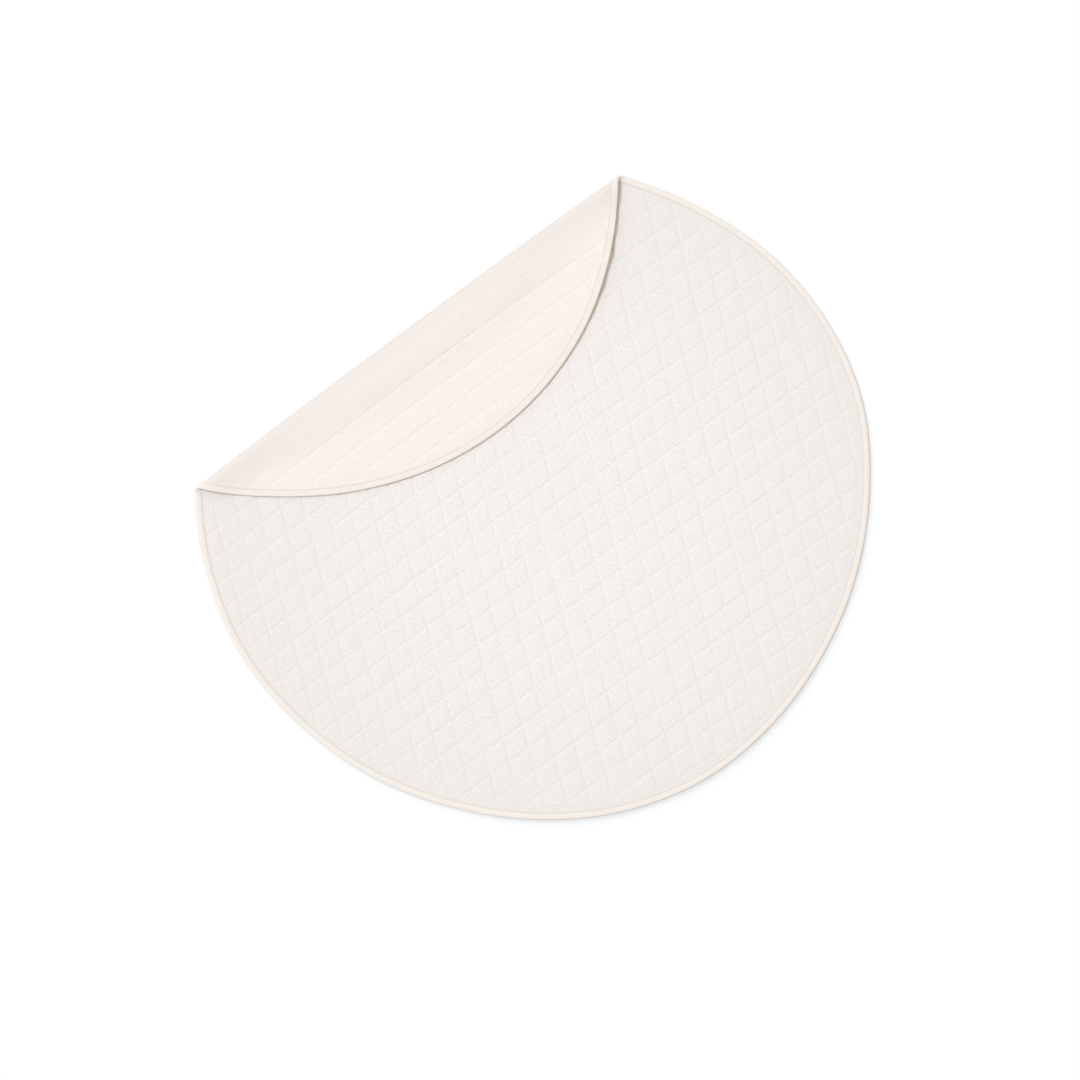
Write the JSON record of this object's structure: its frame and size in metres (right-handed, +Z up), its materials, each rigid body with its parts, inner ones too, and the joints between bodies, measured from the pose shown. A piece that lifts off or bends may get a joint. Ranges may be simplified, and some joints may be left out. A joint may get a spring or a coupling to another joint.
{
  "type": "baby play mat",
  "caption": "Round quilted play mat lying flat, with a bound edge and one segment folded over to show the plain reverse.",
  "frame": {"origin": "centre of the mat on the floor, at the middle of its flat underside", "axes": "+Z up from the floor, +X to the mat's right and +Y to its top, with the folded segment at the upper left"},
  "size_m": [1.1088, 1.0573, 0.027],
  "materials": {
    "face_cloth": "matt heathered cotton face, pale warm white",
    "back_cloth": "smooth plain cotton reverse, cream white",
    "binding_cloth": "folded bias binding, cream"
  },
  "bodies": {
    "root": {"top_panel": "face_cloth", "back_panel": "back_cloth", "edge_binding": "binding_cloth"}
  },
  "joints": []
}
